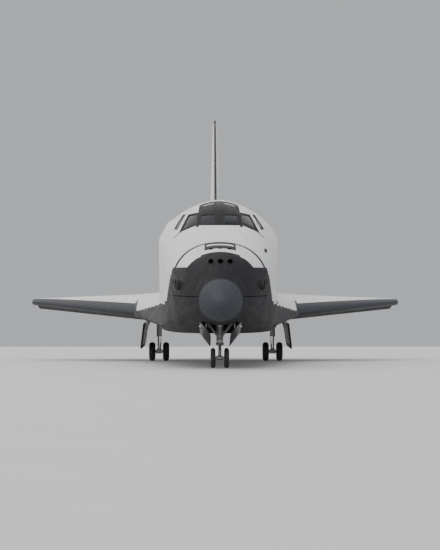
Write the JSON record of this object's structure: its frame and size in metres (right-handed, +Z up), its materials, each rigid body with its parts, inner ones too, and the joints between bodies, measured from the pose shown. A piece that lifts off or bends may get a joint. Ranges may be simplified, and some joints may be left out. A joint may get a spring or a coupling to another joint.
{
  "type": "space shuttle orbiter",
  "caption": "Winged space shuttle orbiter on its landing gear, with opening payload bay, elevons, rudder speed brake and body flap.",
  "frame": {"origin": "on the ground under the middle of the orbiter's bounding box, wheels on the ground", "axes": "+Y from nose to tail, +X to the orbiter's left (port), +Z up"},
  "size_m": [23.7896, 36.2688, 17.3665],
  "materials": {
    "white_tile": "matte",
    "black_tile": "satin",
    "carbon": "matte",
    "glass": "gloss",
    "interior": "matte",
    "radiator_face": "gloss",
    "engine_metal": "satin",
    "gear_paint": "satin",
    "gear_metal": "satin",
    "tyre": "matte"
  },
  "bodies": {
    "airframe": {"nose_cap": "carbon", "forward_thruster_module": "white_tile", "forward_fuselage": "white_tile", "windshield_pane_front_left": "glass", "windshield_pane_front_right": "glass", "windshield_pane_middle_left": "glass", "windshield_pane_middle_right": "glass", "windshield_pane_side_left": "glass", "windshield_pane_side_right": "glass", "overhead_window_left": "glass", "overhead_window_right": "glass", "flight_deck": "interior", "cabin_rear_wall": "interior", "rear_window_glass": "glass", "mid_fuselage": "white_tile", "aft_fuselage": "white_tile", "base_heat_shield": "black_tile", "main_engine_upper": "engine_metal", "main_engine_left": "engine_metal", "main_engine_right": "engine_metal", "engine_pod_left": "white_tile", "engine_pod_right": "white_tile", "pod_nozzle_left": "engine_metal", "pod_nozzle_right": "engine_metal", "vertical_fin": "white_tile", "wing_left": "white_tile", "wing_right": "white_tile", "wing_leading_edge_left": "carbon", "wing_leading_edge_right": "carbon", "nose_leg": "gear_paint", "nose_gear_door_left": "white_tile", "nose_gear_door_right": "white_tile", "main_leg_left": "gear_paint", "main_leg_right": "gear_paint", "main_gear_door_left": "white_tile", "main_gear_door_right": "white_tile"},
    "nose_steering": {"nose_steering": "gear_metal"},
    "nose_wheels": {"nose_hubs": "gear_metal", "nose_tyre_left": "tyre", "nose_tyre_right": "tyre"},
    "main_wheels_left": {"main_hubs_left": "gear_metal", "main_tyre_outer_left": "tyre", "main_tyre_inner_left": "tyre"},
    "main_wheels_right": {"main_hubs_right": "gear_metal", "main_tyre_outer_right": "tyre", "main_tyre_inner_right": "tyre"},
    "elevon_inner_left": {"elevon_inner_left": "white_tile"},
    "elevon_outer_left": {"elevon_outer_left": "white_tile"},
    "elevon_inner_right": {"elevon_inner_right": "white_tile"},
    "elevon_outer_right": {"elevon_outer_right": "white_tile"},
    "body_flap": {"body_flap": "black_tile"},
    "rudder": {"rudder_shaft": "gear_metal"},
    "speed_brake_left": {"rudder_left": "white_tile"},
    "speed_brake_right": {"rudder_right": "white_tile"},
    "bay_door_left": {"bay_door_left": "white_tile", "radiator_left": "radiator_face"},
    "bay_door_right": {"bay_door_right": "white_tile", "radiator_right": "radiator_face"},
    "side_hatch": {"side_hatch": "white_tile", "hatch_window": "glass"}
  },
  "joints": [
    {"name": "nose_steering", "type": "hinge", "parent": "airframe", "child": "nose_steering", "pos_m": [0, -14.42306, 0.9652], "axis": [0, 0, 1], "range_deg": [-10, 10]},
    {"name": "nose_wheels", "type": "hinge", "parent": "nose_steering", "child": "nose_wheels", "pos_m": [0, -14.42306, 0.4064], "axis": [1, 0, 0], "continuous": true},
    {"name": "main_wheels_left", "type": "hinge", "parent": "airframe", "child": "main_wheels_left", "pos_m": [3.4544, 5.81795, 0.56515], "axis": [1, 0, 0], "continuous": true},
    {"name": "main_wheels_right", "type": "hinge", "parent": "airframe", "child": "main_wheels_right", "pos_m": [-3.4544, 5.81795, 0.56515], "axis": [1, 0, 0], "continuous": true},
    {"name": "elevon_inner_left", "type": "hinge", "parent": "airframe", "child": "elevon_inner_left", "pos_m": [3.2004, 11.06752, 3.25243], "axis": [0.9981, -0.0042, 0.0609], "range_deg": [-7, 58]},
    {"name": "elevon_outer_left", "type": "hinge", "parent": "airframe", "child": "elevon_outer_left", "pos_m": [3.2004, 11.06752, 3.25243], "axis": [0.9981, -0.0042, 0.0609], "range_deg": [-7, 58]},
    {"name": "elevon_inner_right", "type": "hinge", "parent": "airframe", "child": "elevon_inner_right", "pos_m": [-3.2004, 11.06752, 3.25243], "axis": [0.9981, 0.0042, -0.0609], "range_deg": [-7, 58]},
    {"name": "elevon_outer_right", "type": "hinge", "parent": "airframe", "child": "elevon_outer_right", "pos_m": [-3.2004, 11.06752, 3.25243], "axis": [0.9981, 0.0042, -0.0609], "range_deg": [-7, 58]},
    {"name": "body_flap", "type": "hinge", "parent": "airframe", "child": "body_flap", "pos_m": [0, 14.73566, 3.59465], "axis": [1, 0, 0], "range_deg": [-22.5, 11.7]},
    {"name": "rudder", "type": "hinge", "parent": "airframe", "child": "rudder", "pos_m": [0, 12.63741, 9.89135], "axis": [0, 0.5118, 0.8591], "range_deg": [-27.1, 27.1]},
    {"name": "speed_brake_left", "type": "hinge", "parent": "rudder", "child": "speed_brake_left", "pos_m": [0, 12.63741, 9.89135], "axis": [0, -0.5118, -0.8591], "range_deg": [0, 49.3]},
    {"name": "speed_brake_right", "type": "hinge", "parent": "rudder", "child": "speed_brake_right", "pos_m": [0, 12.63741, 9.89135], "axis": [0, 0.5118, 0.8591], "range_deg": [0, 49.3]},
    {"name": "bay_door_left", "type": "hinge", "parent": "airframe", "child": "bay_door_left", "pos_m": [2.71526, -0.37306, 5.96384], "axis": [0, 0.9976, 0.0688], "range_deg": [0, 175.5]},
    {"name": "bay_door_right", "type": "hinge", "parent": "airframe", "child": "bay_door_right", "pos_m": [-2.71526, -0.37306, 5.96384], "axis": [0, -0.9976, -0.0688], "range_deg": [0, 175.5]},
    {"name": "side_hatch", "type": "hinge", "parent": "airframe", "child": "side_hatch", "pos_m": [2.58064, -11.0992, 2.74898], "axis": [0, 0.9976, 0.0688], "range_deg": [0, 90]}
  ],
  "couplings": [
    {"joint": "speed_brake_right", "follows": "speed_brake_left", "ratio": 1}
  ]
}
